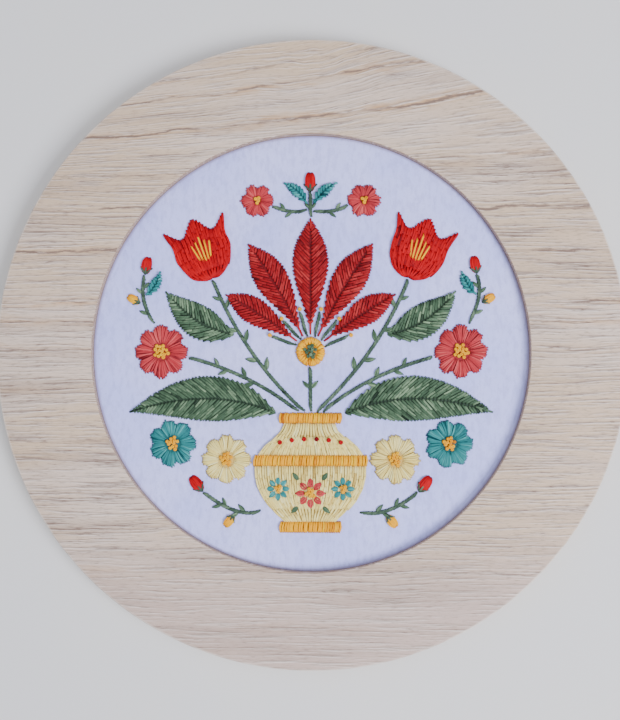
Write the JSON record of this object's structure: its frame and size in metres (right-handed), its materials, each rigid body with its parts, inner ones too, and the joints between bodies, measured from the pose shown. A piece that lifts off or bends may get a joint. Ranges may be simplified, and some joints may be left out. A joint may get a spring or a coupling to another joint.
{
  "type": "embroidered cloth in a wooden hoop frame",
  "caption": "Round wooden display frame with stretched white cotton, set back in its window and embroidered with a raised bouquet in a vase.",
  "frame": {"origin": "centre of the board's flat back, on the surface it lies on", "axes": "+Z out of the picture, from the board's back to its face; +Y towards the top of the picture; +X to its right"},
  "size_m": [0.28, 0.28, 0.012],
  "materials": {
    "board_wood": "bare pale wood with a fine straight grain",
    "hoop_wood": "bare pale wood",
    "cloth_cotton": "fine plain weave, matt",
    "thread_bright_red": "stranded cotton, soft sheen",
    "thread_brick_red": "stranded cotton, soft sheen",
    "thread_sage": "stranded cotton, soft sheen",
    "thread_dark_sage": "stranded cotton, soft sheen",
    "thread_cream": "stranded cotton, soft sheen",
    "thread_gold": "stranded cotton, soft sheen",
    "thread_coral": "stranded cotton, soft sheen",
    "thread_teal": "stranded cotton, soft sheen"
  },
  "bodies": {
    "root": {"frame_board": "board_wood", "inner_hoop": "hoop_wood", "cloth": "cloth_cotton", "vase_foot": "thread_gold", "vase_lower": "thread_cream", "vase_belt": "thread_gold", "vase_upper": "thread_cream", "vase_rim": "thread_gold", "bloom_heart": "thread_gold", "petal_middle": "thread_brick_red", "petal_inner_left": "thread_brick_red", "petal_inner_right": "thread_brick_red", "petal_outer_left": "thread_brick_red", "petal_outer_right": "thread_brick_red", "stem_bloom": "thread_dark_sage", "stem_tulip_left": "thread_dark_sage", "stem_tulip_right": "thread_dark_sage", "stem_coral_left": "thread_dark_sage", "stem_coral_right": "thread_dark_sage", "stem_top": "thread_dark_sage", "stem_small_left": "thread_dark_sage", "stem_small_right": "thread_dark_sage", "stem_side_left": "thread_dark_sage", "stem_side_right": "thread_dark_sage", "stem_low_left": "thread_dark_sage", "stem_low_right": "thread_dark_sage", "leaf_long_left": "thread_sage", "leaf_long_right": "thread_sage", "leaf_upper_left": "thread_sage", "leaf_upper_right": "thread_sage", "leaf_top_left": "thread_teal", "leaf_top_right": "thread_teal", "leaf_side_left": "thread_teal", "leaf_side_right": "thread_teal", "flower_coral_left": "thread_coral", "flower_coral_right": "thread_coral", "flower_cream_left": "thread_cream", "flower_cream_right": "thread_cream", "flower_teal_left": "thread_teal", "flower_teal_right": "thread_teal", "flower_small_left": "thread_coral", "flower_small_right": "thread_coral", "knots_coral_left": "thread_gold", "knots_coral_right": "thread_gold", "knots_cream_left": "thread_gold", "knots_cream_right": "thread_gold", "knots_teal_left": "thread_gold", "knots_teal_right": "thread_gold", "bud_top": "thread_bright_red", "bud_side_left": "thread_bright_red", "bud_side_right": "thread_bright_red", "bud_side_low_left": "thread_gold", "bud_side_low_right": "thread_gold", "bud_low_left": "thread_bright_red", "bud_low_right": "thread_bright_red", "bud_low_inner_left": "thread_gold", "bud_low_inner_right": "thread_gold", "tulip_left": "thread_bright_red", "tulip_right": "thread_bright_red"}
  },
  "joints": []
}
